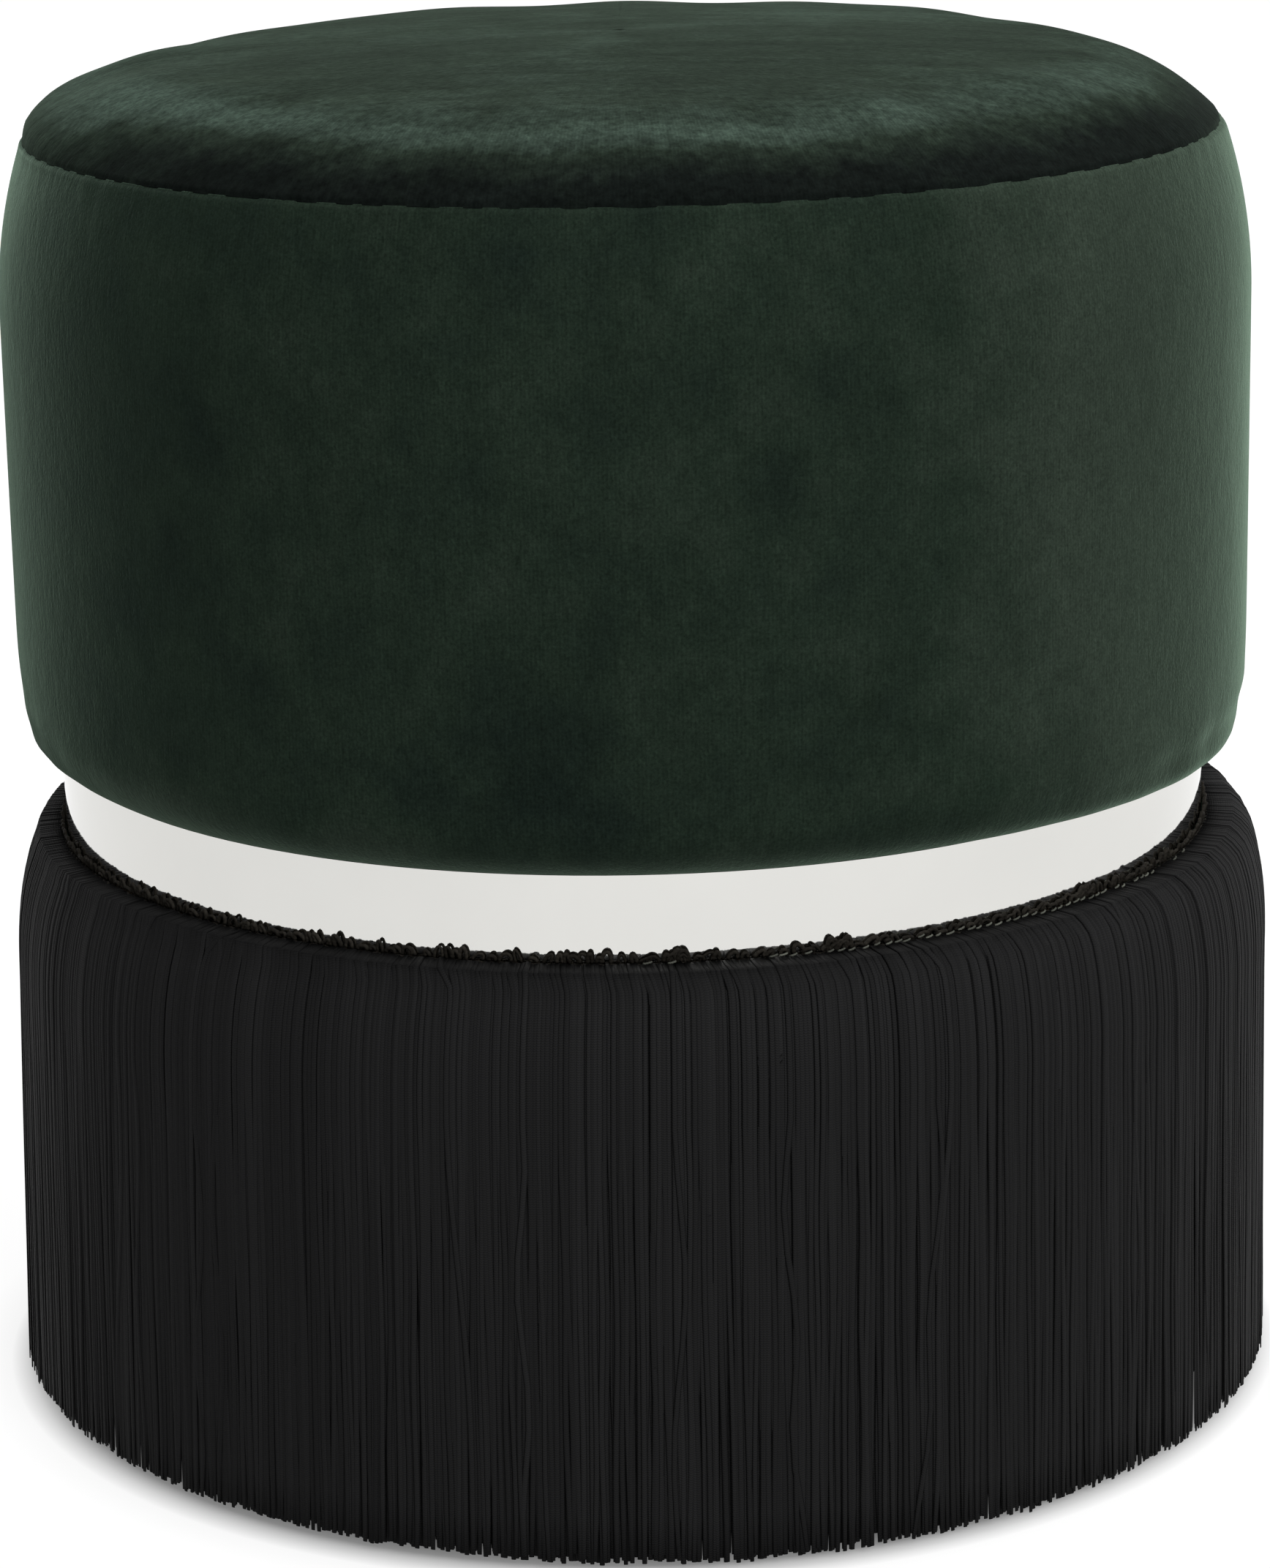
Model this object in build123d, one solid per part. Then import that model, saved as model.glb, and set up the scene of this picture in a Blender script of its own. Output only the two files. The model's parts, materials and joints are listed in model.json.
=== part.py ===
from build123d import *
from math import acos, cos, radians, sin, sqrt, tan
import os

# A round pouf: a velvet drum seat on a polished metal band, over a drum base hung with fringe.
# Millimetres, +Z up. The origin is on the floor, under the centre of the pouf.

# Clearances
fit_clearance = 0.2
screw_clearance = 0.15
bolt_clearance = 0.3

# Frame of both drums
seat_board_radius = 154.0
base_board_radius = 159.0
board_thickness = 12.0
wall_thickness = 3.0
post_count = 4
post_side = 30.0
post_inset = 40.0
base_post_length = 125.0
seat_post_length = 120.0

# Countersunk screws that hold the posts
screw_head_radius = 4.5
screw_head_height = 2.6
screw_shank_radius = 2.2
screw_length = 40.0
screw_tip_length = 5.0

# Upholstery covers
cover_thickness = 1.2
cover_flange_width = 36.0

# Seat upholstery: side panel, seam and crowned top panel
seat_foam_thickness = 16.2
seam_height = 27.6
seam_inset = 8.2
shoulder_drop = 47.8
edge_roll_radius = 64.5
seam_slope = 46.6
crown_slope = 4.56

# Band between the drums
core_thickness = 23.0
core_hole_radius = 88.0
core_overhang = 5.3
band_thickness = 0.8
band_lip = 0.7
band_joint_gap = 0.4

# Bolts that join the drums through the band's core
bolt_count = 4
bolt_inset = 49.0
bolt_radius = 3.0
bolt_head_flats = 10.0
bolt_head_height = 4.0
bolt_end_recess = 0.5
washer_radius = 9.0
washer_thickness = 1.6
tee_nut_flange_radius = 9.5
tee_nut_flange_thickness = 1.2
tee_nut_barrel_radius = 4.0
tee_nut_barrel_length = 9.0

# Base upholstery
base_foam_thickness = 12.5
base_bottom_edge_radius = 6.0
dust_cover_thickness = 0.6
dust_cover_inset = 4.0

# Fringe
heading_height = 3.0
heading_rise = 3.2
heading_thickness = 3.0
strand_count = 300
strand_width = 2.4
strand_depth = 2.6
strand_clearance = 0.5
strand_flare = 4.0
strand_shoulder_steps = 3
strand_band_width = 2.0
strand_band_height = 1.8
hem_height = 2.0
hem_scatter = 2.5
golden_fraction = 0.618

# Glides
glide_count = 4
glide_inset = 31.0
glide_height = 10.0
glide_foot_radius = 14.0
glide_top_radius = 16.0
glide_edge_radius = 1.5
glide_recess_radius = 5.5
glide_recess_depth = 5.0
glide_screw_head_radius = 4.2
glide_screw_head_height = 2.8
glide_screw_shank_radius = 2.0
glide_screw_grip = 9.0

# Heights, from the floor up
dust_cover_bottom = glide_height
base_cover_bottom = dust_cover_bottom + dust_cover_thickness
base_bottom = base_cover_bottom + cover_thickness
base_top = base_bottom + 2 * board_thickness + base_post_length
base_cover_top = base_top + cover_thickness
seat_cover_bottom = base_cover_top + core_thickness
seat_bottom = seat_cover_bottom + cover_thickness
seat_top = seat_bottom + 2 * board_thickness + seat_post_length
seam_level = seat_top + seam_height

# Radii, from the axis out
seat_wall_radius = seat_board_radius + fit_clearance
base_wall_radius = base_board_radius + fit_clearance
seat_foam_radius = seat_wall_radius + wall_thickness + fit_clearance
base_foam_radius = base_wall_radius + wall_thickness + fit_clearance
cover_and_clearance = cover_thickness + fit_clearance
seat_radius = seat_foam_radius + seat_foam_thickness + cover_and_clearance
base_radius = base_foam_radius + base_foam_thickness + cover_and_clearance
seat_bottom_edge_radius = seat_radius - seat_foam_radius
base_shoulder_radius = base_radius - base_foam_radius
seam_radius = seat_radius - seam_inset
core_radius = seat_wall_radius + wall_thickness + core_overhang
band_inner_radius = core_radius + fit_clearance
band_outer_radius = band_inner_radius + band_thickness
heading_inner_radius = band_outer_radius + fit_clearance
heading_outer_radius = heading_inner_radius + heading_thickness
strand_start_radius = heading_outer_radius + fit_clearance
seat_flange_radius = seat_board_radius - cover_flange_width
base_flange_radius = base_board_radius - cover_flange_width
seat_post_circle = seat_board_radius - post_inset
base_post_circle = base_board_radius - post_inset
bolt_circle = base_board_radius - bolt_inset
glide_circle = base_board_radius - glide_inset
post_angle = 180.0 / post_count

# Arcs of the seat's section
roll_rise = edge_roll_radius * cos(radians(seam_slope))
roll_run = edge_roll_radius * sin(radians(seam_slope))
roll_centre = (seam_radius - roll_run, seam_level - roll_rise)
crown_radius = roll_centre[0] + edge_roll_radius * sin(radians(crown_slope))
crown_level = roll_centre[1] + edge_roll_radius * cos(radians(crown_slope))
dome_radius = crown_radius / sin(radians(crown_slope))
apex_level = crown_level + crown_radius * tan(radians(crown_slope / 2))
shoulder_radius = (seam_inset**2 + shoulder_drop**2) / (2 * seam_inset)
shoulder_centre = (seat_radius - shoulder_radius, seam_level - shoulder_drop)


def turned(section):
    """The solid that a section in radius and height turns into about the Z axis."""
    return revolve(Plane.XZ * section, Axis.Z)


def tube(inner_radius, outer_radius, bottom, top):
    """A straight ring between two radii and two heights."""
    ring = Circle(outer_radius) - Circle(inner_radius)
    return Pos(0, 0, bottom) * extrude(ring, top - bottom)


def disc(radius, bottom, thickness):
    """A flat round board or sheet."""
    return Pos(0, 0, bottom) * extrude(Circle(radius), thickness)


def around(solid, count, radius, first_angle=0.0):
    """Copies of a solid, spaced evenly on a circle about the Z axis."""
    return [place * solid for place in PolarLocations(radius, count, first_angle)]


def region(inner_radius, outer_radius, bottom, top):
    """A rectangle of the section plane, between two radii and two heights."""
    corner = (inner_radius, bottom)
    return Pos(*corner) * Rectangle(outer_radius - inner_radius, top - bottom, align=Align.MIN)


def upper_crossing(centre_a, radius_a, centre_b, radius_b):
    """The upper one of the two points where two circles cross."""
    apart = Vector(centre_b) - Vector(centre_a)
    along = (radius_a**2 - radius_b**2 + apart.length**2) / (2 * apart.length)
    aside = sqrt(radius_a**2 - along**2)
    forward = apart.normalized()
    sideways = Vector(-forward.Y, forward.X)
    foot = Vector(centre_a) + forward * along
    return max(foot + sideways * aside, foot - sideways * aside, key=lambda point: point.Y)


def countersunk_screw(grow=0.0):
    """A screw that points down from a flush head at z = 0, or the hole for it when grown."""
    outline = Polyline(
        (0, 0),
        (screw_head_radius + grow, 0),
        (screw_shank_radius + grow, -screw_head_height),
        (screw_shank_radius + grow, screw_tip_length - screw_length),
        (0, -screw_length - grow),
        close=True,
    )
    return turned(make_face(outline))


def post_screws(bottom, top, circle, grow=0.0):
    """The screws through the lower and upper boards of one drum, or the holes for them."""
    screw = countersunk_screw(grow)
    lower = around(Pos(0, 0, bottom) * Rot(180, 0, 0) * screw, post_count, circle, post_angle)
    upper = around(Pos(0, 0, top) * screw, post_count, circle, post_angle)
    return lower + upper


def posts(bottom, length, circle, screw_holes):
    """The square posts of one drum, drilled for their screws."""
    post = Pos(0, 0, bottom) * extrude(Rectangle(post_side, post_side), length)
    return [solid - screw_holes for solid in around(post, post_count, circle, post_angle)]


def bolt_holes(radius, bottom, thickness):
    """Drills for the joining bolts through a board."""
    return around(disc(radius, bottom, thickness), bolt_count, bolt_circle)


def seam_point(inset):
    """Where the top and side panels of the seat meet, at a depth below their surface."""
    return upper_crossing(roll_centre, edge_roll_radius - inset, shoulder_centre, shoulder_radius - inset)


def seat_top_curve(inset):
    """The seat's top in section, from the seam over the edge roll to the crown."""
    roll = edge_roll_radius - inset
    slope = radians(crown_slope)
    crown = (roll_centre[0] + roll * sin(slope), roll_centre[1] + roll * cos(slope))
    return [
        RadiusArc(seam_point(inset), crown, -roll),
        RadiusArc(crown, (0, apex_level - inset), inset - dome_radius),
    ]


def seat_side_curve(inset, start_radius):
    """The seat's underside and side in section, from a radius on the underside to the seam."""
    bottom = seat_cover_bottom + inset
    corner = (seat_radius - seat_bottom_edge_radius, seat_cover_bottom + seat_bottom_edge_radius)
    side = seat_radius - inset
    return [
        Line((start_radius, bottom), (corner[0], bottom)),
        CenterArc(corner, seat_bottom_edge_radius - inset, -90, 90),
        Line((side, corner[1]), (side, shoulder_centre[1])),
        RadiusArc((side, shoulder_centre[1]), seam_point(inset), inset - shoulder_radius),
    ]


def seat_top_panel():
    """Section of the crowned top panel of the cover."""
    seam = Line(seam_point(0), seam_point(cover_thickness))
    axis = Line((0, apex_level), (0, apex_level - cover_thickness))
    return make_face([*seat_top_curve(0), *seat_top_curve(cover_thickness), seam, axis])


def seat_side_panel():
    """Section of the side panel of the cover, tucked under the seat."""
    seam = Line(seam_point(0), seam_point(cover_thickness))
    tuck = Line((seat_flange_radius, seat_cover_bottom), (seat_flange_radius, seat_bottom))
    outside = seat_side_curve(0, seat_flange_radius)
    inside = seat_side_curve(cover_thickness, seat_flange_radius)
    return make_face([*outside, *inside, seam, tuck])


def seat_stuffing():
    """Section of everything inside the seat's cover."""
    inset = cover_and_clearance
    axis = Line((0, seat_cover_bottom + inset), (0, apex_level - inset))
    return make_face([*seat_side_curve(inset, 0), *seat_top_curve(inset), axis])


def base_curve(inset, start_radius):
    """The base in section, from a radius on its underside, round its shoulder, to the same on top."""
    bottom = base_cover_bottom + inset
    top = base_cover_top - inset
    side = base_radius - inset
    edge = (base_radius - base_bottom_edge_radius, base_cover_bottom + base_bottom_edge_radius)
    shoulder = (base_radius - base_shoulder_radius, base_cover_top - base_shoulder_radius)
    return [
        Line((start_radius, bottom), (edge[0], bottom)),
        CenterArc(edge, base_bottom_edge_radius - inset, -90, 90),
        Line((side, edge[1]), (side, shoulder[1])),
        CenterArc(shoulder, base_shoulder_radius - inset, 0, 90),
        Line((shoulder[0], top), (start_radius, top)),
    ]


def base_panel():
    """Section of the base's cover, tucked over and under its boards."""
    outside = base_curve(0, base_flange_radius)
    inside = base_curve(cover_thickness, base_flange_radius)
    upper = Line((base_flange_radius, base_top), (base_flange_radius, base_cover_top))
    lower = Line((base_flange_radius, base_cover_bottom), (base_flange_radius, base_bottom))
    return make_face([*outside, *inside, upper, lower])


def base_stuffing():
    """Section of everything inside the base's cover."""
    inset = cover_and_clearance
    axis = Line((0, base_cover_bottom + inset), (0, base_cover_top - inset))
    return make_face([*base_curve(inset, 0), axis])


def on_circle(centre_radius, centre_level, bend_radius, angle):
    """A point of the section plane on a circle, by its angle above the horizontal."""
    return (centre_radius + bend_radius * cos(angle), centre_level + bend_radius * sin(angle))


def fringe_strand(hem):
    """One strand: from the heading over the shoulder, then straight down to its cut end."""
    centre_radius = base_radius - base_shoulder_radius
    centre_level = base_cover_top - base_shoulder_radius
    inner_bend = base_shoulder_radius + strand_clearance
    outer_bend = inner_bend + strand_depth
    start = acos((strand_start_radius - centre_radius) / inner_bend)
    bends = [start * (1 - index / strand_shoulder_steps) for index in range(strand_shoulder_steps + 1)]
    outer = [on_circle(centre_radius, centre_level, outer_bend, bend) for bend in bends]
    inner = [on_circle(centre_radius, centre_level, inner_bend, bend) for bend in bends]
    outer_end = (centre_radius + outer_bend + strand_flare, hem)
    inner_end = (centre_radius + inner_bend + strand_flare, hem)
    outline = Polyline(*outer, outer_end, inner_end, *reversed(inner), close=True)
    return extrude(Plane.XZ * make_face(outline), strand_width / 2, both=True)


def fringe():
    """All strands, hanging from one narrow band of the heading."""
    centre_radius = base_radius - base_shoulder_radius
    inner_bend = base_shoulder_radius + strand_clearance
    start = acos((strand_start_radius - centre_radius) / inner_bend)
    band_top = base_cover_top - base_shoulder_radius + (inner_bend + strand_depth) * sin(start)
    band_bottom = band_top - strand_band_height
    band = tube(strand_start_radius, strand_start_radius + strand_band_width, band_bottom, band_top)
    strands = []
    for index in range(strand_count):
        hem = hem_height + hem_scatter * (index * golden_fraction % 1)
        strands.append(Rot(0, 0, 360 / strand_count * index) * fringe_strand(hem))
    return band.fuse(*strands)


def glide():
    """A round foot with a tapered side and a recess for its screw, standing on z = 0."""
    outline = Polyline(
        (glide_recess_radius, 0),
        (glide_foot_radius, 0),
        (glide_top_radius, glide_height),
        (glide_screw_shank_radius + screw_clearance, glide_height),
        (glide_screw_shank_radius + screw_clearance, glide_recess_depth),
        (glide_recess_radius, glide_recess_depth),
        close=True,
    )
    section = make_face(outline)
    foot_corner = section.vertices().filter_by(lambda corner: corner.X == glide_foot_radius)
    return turned(fillet(foot_corner, glide_edge_radius))


def glide_screw(grow=0.0):
    """A pan-head screw that points up through a glide, or the hole for it when grown."""
    head_bottom = glide_recess_depth - glide_screw_head_height
    shank_top = base_bottom + glide_screw_grip + grow
    head = disc(glide_screw_head_radius, head_bottom, glide_screw_head_height)
    return head + disc(glide_screw_shank_radius + grow, glide_recess_depth, shank_top - glide_recess_depth)


def joining_bolt():
    """A hexagon bolt, up through the base board, the band's core and the seat board."""
    head_top = base_top - board_thickness - washer_thickness
    shank_top = seat_bottom + board_thickness + tee_nut_flange_thickness - bolt_end_recess
    head = extrude(RegularPolygon(bolt_head_flats / sqrt(3), 6), bolt_head_height)
    return Pos(0, 0, head_top - bolt_head_height) * head + disc(bolt_radius, head_top, shank_top - head_top)


def tee_nut():
    """A flanged nut, pressed into the seat board from above."""
    board_face = seat_bottom + board_thickness
    flange = disc(tee_nut_flange_radius, board_face, tee_nut_flange_thickness)
    barrel = disc(tee_nut_barrel_radius, board_face - tee_nut_barrel_length, tee_nut_barrel_length)
    bore_length = tee_nut_barrel_length + tee_nut_flange_thickness
    bore = disc(bolt_radius + fit_clearance, board_face - tee_nut_barrel_length, bore_length)
    return flange + barrel - bore


pieces = {}

# Seat frame
seat_screw_holes = post_screws(seat_bottom, seat_top, seat_post_circle, screw_clearance)
seat_bolt_holes = bolt_holes(tee_nut_barrel_radius + fit_clearance, seat_bottom, board_thickness)
pieces["seat_bottom_board"] = [
    disc(seat_board_radius, seat_bottom, board_thickness) - seat_screw_holes - seat_bolt_holes
]
pieces["seat_top_board"] = [
    disc(seat_board_radius, seat_top - board_thickness, board_thickness) - seat_screw_holes
]
pieces["seat_posts"] = posts(
    seat_bottom + board_thickness, seat_post_length, seat_post_circle, seat_screw_holes
)
pieces["seat_post_screws"] = post_screws(seat_bottom, seat_top, seat_post_circle)
pieces["seat_drum_wall"] = [
    tube(seat_wall_radius, seat_wall_radius + wall_thickness, seat_bottom, seat_top)
]

# Seat upholstery
pieces["seat_top_cover"] = [turned(seat_top_panel())]
pieces["seat_side_cover"] = [turned(seat_side_panel())]
pad_region = region(0, seat_radius, seat_top, apex_level)
wrap_region = region(seat_foam_radius, seat_radius, seat_cover_bottom, seat_top)
pieces["seat_foam_pad"] = [turned(seat_stuffing() & pad_region)]
pieces["seat_foam_wrap"] = [turned(seat_stuffing() & wrap_region)]

# Band
core_bolt_holes = bolt_holes(bolt_radius + bolt_clearance, base_cover_top, core_thickness)
pieces["band_core"] = [
    tube(core_hole_radius, core_radius, base_cover_top, seat_cover_bottom) - core_bolt_holes
]
band_height = core_thickness + band_lip
band_joint = Pos(0, band_outer_radius, base_cover_top + band_height / 2)
band_joint *= Box(band_joint_gap, band_outer_radius, band_height)
pieces["metal_band"] = [
    tube(band_inner_radius, band_outer_radius, base_cover_top, base_cover_top + band_height) - band_joint
]

# Joining bolts
pieces["joining_bolts"] = around(joining_bolt(), bolt_count, bolt_circle)
washer_bottom = base_top - board_thickness - washer_thickness
washer = tube(bolt_radius + bolt_clearance, washer_radius, washer_bottom, washer_bottom + washer_thickness)
pieces["joining_washers"] = around(washer, bolt_count, bolt_circle)
pieces["tee_nuts"] = around(tee_nut(), bolt_count, bolt_circle)

# Base frame
base_screw_holes = post_screws(base_bottom, base_top, base_post_circle, screw_clearance)
base_bolt_holes = bolt_holes(bolt_radius + bolt_clearance, base_top - board_thickness, board_thickness)
glide_screw_holes = around(glide_screw(screw_clearance), glide_count, glide_circle, post_angle)
pieces["base_top_board"] = [
    disc(base_board_radius, base_top - board_thickness, board_thickness) - base_screw_holes - base_bolt_holes
]
pieces["base_bottom_board"] = [
    disc(base_board_radius, base_bottom, board_thickness) - base_screw_holes - glide_screw_holes
]
pieces["base_posts"] = posts(
    base_bottom + board_thickness, base_post_length, base_post_circle, base_screw_holes
)
pieces["base_post_screws"] = post_screws(base_bottom, base_top, base_post_circle)
pieces["base_drum_wall"] = [
    tube(base_wall_radius, base_wall_radius + wall_thickness, base_bottom, base_top)
]

# Base upholstery
pieces["base_cover"] = [turned(base_panel()) - glide_screw_holes]
base_wrap_region = region(base_foam_radius, base_radius, base_cover_bottom, base_cover_top)
pieces["base_foam_wrap"] = [turned(base_stuffing() & base_wrap_region)]
dust_cover = disc(base_board_radius - dust_cover_inset, dust_cover_bottom, dust_cover_thickness)
pieces["dust_cover"] = [dust_cover - glide_screw_holes]

# Fringe
heading_top = base_cover_top + heading_rise
pieces["fringe_heading"] = [
    tube(heading_inner_radius, heading_outer_radius, heading_top - heading_height, heading_top)
]
pieces["fringe_skirt"] = [fringe()]

# Glides
pieces["glides"] = around(glide(), glide_count, glide_circle, post_angle)
pieces["glide_screws"] = around(glide_screw(), glide_count, glide_circle, post_angle)

os.makedirs("parts", exist_ok=True)
for name, solids in pieces.items():
    export_step(Compound(children=[solid.solid() for solid in solids]), f"parts/{name}.step")
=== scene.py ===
import json
import math

import bpy
import numpy as np
from mathutils import Matrix, Vector


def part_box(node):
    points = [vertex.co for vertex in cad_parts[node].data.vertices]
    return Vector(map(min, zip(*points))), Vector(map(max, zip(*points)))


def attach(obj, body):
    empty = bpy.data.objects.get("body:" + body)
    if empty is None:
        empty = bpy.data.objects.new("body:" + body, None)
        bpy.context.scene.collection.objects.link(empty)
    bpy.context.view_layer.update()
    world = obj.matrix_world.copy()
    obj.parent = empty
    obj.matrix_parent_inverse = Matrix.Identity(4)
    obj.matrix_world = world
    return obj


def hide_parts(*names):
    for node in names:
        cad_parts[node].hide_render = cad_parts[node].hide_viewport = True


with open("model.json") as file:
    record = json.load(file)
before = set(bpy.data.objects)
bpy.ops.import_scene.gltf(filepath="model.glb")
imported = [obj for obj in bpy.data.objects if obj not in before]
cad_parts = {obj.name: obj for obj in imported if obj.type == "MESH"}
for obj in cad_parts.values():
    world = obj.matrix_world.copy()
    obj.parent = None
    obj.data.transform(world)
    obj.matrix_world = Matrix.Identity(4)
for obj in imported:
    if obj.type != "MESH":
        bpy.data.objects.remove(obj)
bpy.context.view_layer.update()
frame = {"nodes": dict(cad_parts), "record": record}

TAU = 2 * math.pi
MM = 0.001
# How near to the axis the points of a turned piece may come
axis_clearance = 0.05 * MM

# Sizes that come from the frame, in metres
seat_low, seat_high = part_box("seat_side_cover")
top_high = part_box("seat_top_cover")[1]
band_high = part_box("metal_band")[1]
base_low, base_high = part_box("base_cover")
heading_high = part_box("fringe_heading")[1]
skirt_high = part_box("fringe_skirt")[1]
dust_low, dust_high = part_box("dust_cover")
seat_wall_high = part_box("seat_drum_wall")[1]
base_wall_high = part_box("base_drum_wall")[1]

seat_radius = seat_high[0]
seat_bottom = seat_low[2]
seam_level = seat_high[2]
seam_radius = top_high[0]
base_radius = base_high[0]
base_top = base_high[2]
base_bottom = base_low[2]
band_radius = band_high[0]
heading_radius = heading_high[0]
heading_top = heading_high[2]
hem_radius = skirt_high[0]
dust_radius = dust_high[0]

# Sizes of the upholstery, as in the solids
cover_thickness = 1.2 * MM
foam_clearance = 0.2 * MM
flange_width = 36 * MM
edge_roll_radius = 64.5 * MM
seam_slope = 46.6
crown_slope = 4.56
shoulder_drop = 47.8 * MM
base_edge_radius = 6 * MM
seat_foam_radius = seat_wall_high[0] + foam_clearance
base_foam_radius = base_wall_high[0] + foam_clearance
seat_edge_radius = seat_radius - seat_foam_radius
base_shoulder_radius = base_radius - base_foam_radius

# The camera that fits the photograph, whose height its focal length is measured against
photo_height = 2143
camera_focal_pixels = 6548
camera_distance = 1.340
camera_height = 0.528
camera_pitch = 15.13
camera_yaw = -0.02
camera_roll = -1.09
sensor_size = 36.0


# Mesh building

def placed(name, data):
    """A new object in the scene."""
    thing = bpy.data.objects.new(name, data)
    bpy.context.scene.collection.objects.link(thing)
    return thing


def new_piece(name, points, faces, material):
    """A smooth mesh object that rides on the pouf's one body."""
    mesh = bpy.data.meshes.new(name)
    mesh.from_pydata(np.asarray(points).tolist(), [], faces)
    mesh.validate()
    mesh.shade_smooth()
    mesh.materials.append(material)
    piece = placed(name, mesh)
    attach(piece, "root")
    return piece


def store_vectors(piece, name, vectors):
    """Keeps one vector for each point of a mesh, for its material to read."""
    attribute = piece.data.attributes.new(name, "FLOAT_VECTOR", "POINT")
    attribute.data.foreach_set("vector", np.asarray(vectors, dtype=np.float32).ravel())


def grid_faces(columns, rows, wrap_rows=False):
    """Quads of a closed ring of columns, whose points are numbered row by row within each column."""
    column = np.arange(columns)
    row = np.arange(rows if wrap_rows else rows - 1)
    next_column = (column + 1) % columns
    next_row = (row + 1) % rows
    corners = [
        column[:, None] * rows + row[None, :],
        next_column[:, None] * rows + row[None, :],
        next_column[:, None] * rows + next_row[None, :],
        column[:, None] * rows + next_row[None, :],
    ]
    return np.stack(corners, axis=-1).reshape(-1, 4)


def arc(centre, radius, start, end, steps):
    """Points of an arc in radius and height, by angles in degrees above the horizontal."""
    angles = np.radians(np.linspace(start, end, steps))
    return np.stack([centre[0] + radius * np.cos(angles), centre[1] + radius * np.sin(angles)], axis=1)


def line(start, end, steps):
    """Points of a straight run in radius and height."""
    share = np.linspace(0, 1, steps)[:, None]
    return np.asarray(start) * (1 - share) + np.asarray(end) * share


def joined(*runs):
    """One outline from runs that each start where the last one ended."""
    kept = [runs[0]] + [run[1:] for run in runs[1:]]
    return np.concatenate(kept)


def outline_normals(outline):
    """Outward normals of an outline that runs from the underside, up the side, to the top."""
    tangent = np.gradient(outline, axis=0)
    tangent /= np.linalg.norm(tangent, axis=1, keepdims=True)
    return np.stack([tangent[:, 1], -tangent[:, 0]], axis=1)


def outline_run(outline):
    """Distance along an outline from its first point."""
    steps = np.linalg.norm(np.diff(outline, axis=0), axis=1)
    return np.concatenate([[0], np.cumsum(steps)])


def turned_shell(name, outline, thickness, columns, material, swell, nap_and_painted_light):
    """A closed shell turned about the Z axis, as thick as said, once or for each point of its outline.

    swell moves its points along their normals; the last function gives the tone of its colour, from 0, dark,
    to 1, light: the pile's own tone, with painted light and shade where that function paints them.
    """
    normal = outline_normals(outline)
    run = outline_run(outline)
    angle = TAU * np.arange(columns) / columns
    offset = swell(angle[:, None], run[None, :], outline)
    # The tone of each point's colour: the pile's own, with painted light and shade where the panel's
    # function paints them
    lay_and_painted_light = nap_and_painted_light(angle[:, None], run[None, :], outline) * np.ones_like(offset)
    inner_rows = np.arange(len(outline) - 1, -1, -2)
    sections = []
    depths = np.broadcast_to(thickness, len(outline))
    for rows, depth in ((np.arange(len(outline)), 0 * depths), (inner_rows, depths)):
        moved = offset[:, rows] - depth[rows]
        radius = np.maximum(outline[rows, 0] + moved * normal[rows, 0], axis_clearance)
        height = outline[rows, 1] + moved * normal[rows, 1]
        sections.append(np.stack([radius, height], axis=-1))
    section = np.concatenate(sections, axis=1)
    rows = section.shape[1]
    points = polar(angle[:, None], section[..., 0], section[..., 1])
    faces = grid_faces(columns, rows, wrap_rows=True).tolist()
    piece = new_piece(name, points.reshape(-1, 3), faces, material)
    all_run = np.concatenate([run, run[inner_rows]])
    reference = outline[:, 0].max()
    pile = np.zeros((columns, rows, 3))
    pile[..., 0] = angle[:, None] * reference
    pile[..., 1] = all_run[None, :]
    pile[..., 2] = np.concatenate([lay_and_painted_light, lay_and_painted_light[:, inner_rows]], axis=1)
    store_vectors(piece, "pile", pile.reshape(-1, 3))
    return piece


def tubes(name, paths, sideways, radii, sides, material, tones, tag, flatness=1.0):
    """Cords along paths of equal point counts, each closed at both ends and flattened across sideways."""
    count, steps, _ = paths.shape
    tangent = np.gradient(paths, axis=1)
    tangent /= np.linalg.norm(tangent, axis=2, keepdims=True)
    normal = np.cross(tangent, sideways)
    normal /= np.linalg.norm(normal, axis=2, keepdims=True)
    across = np.cross(normal, tangent)
    turn = TAU * np.arange(sides) / sides
    ring = (
        np.cos(turn)[None, None, :, None] * across[:, :, None, :]
        + flatness * np.sin(turn)[None, None, :, None] * normal[:, :, None, :]
    )
    points = paths[:, :, None, :] + radii[:, :, None, None] * ring
    quads = grid_faces(sides, steps)
    quads = quads % steps * sides + quads // steps
    first = np.arange(count)[:, None, None] * steps * sides
    faces = (first + quads[None]).reshape(-1, 4)[:, ::-1].tolist()
    ends = np.arange(sides)
    near = np.arange(count)[:, None] * steps * sides + ends[None, :]
    far = near + (steps - 1) * sides
    faces += near.tolist()
    faces += far[:, ::-1].tolist()
    piece = new_piece(name, points.reshape(-1, 3), faces, material)
    length = np.concatenate(
        [np.zeros((count, 1)), np.cumsum(np.linalg.norm(np.diff(paths, axis=1), axis=2), axis=1)], axis=1
    )
    facts = np.zeros((count, steps, sides, 3))
    facts[..., 0] = np.cos(turn)[None, None, :]
    facts[..., 1] = length[:, :, None]
    facts[..., 2] = tones[:, None, None]
    store_vectors(piece, tag, facts.reshape(-1, 3))
    return piece


def waves(angle, counts, generator):
    """A smooth closed ripple round the pouf, of about unit size."""
    total = np.zeros_like(angle)
    for count in counts:
        total = total + np.cos(count * angle + generator.uniform(0, TAU))
    return total / math.sqrt(len(counts))


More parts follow.
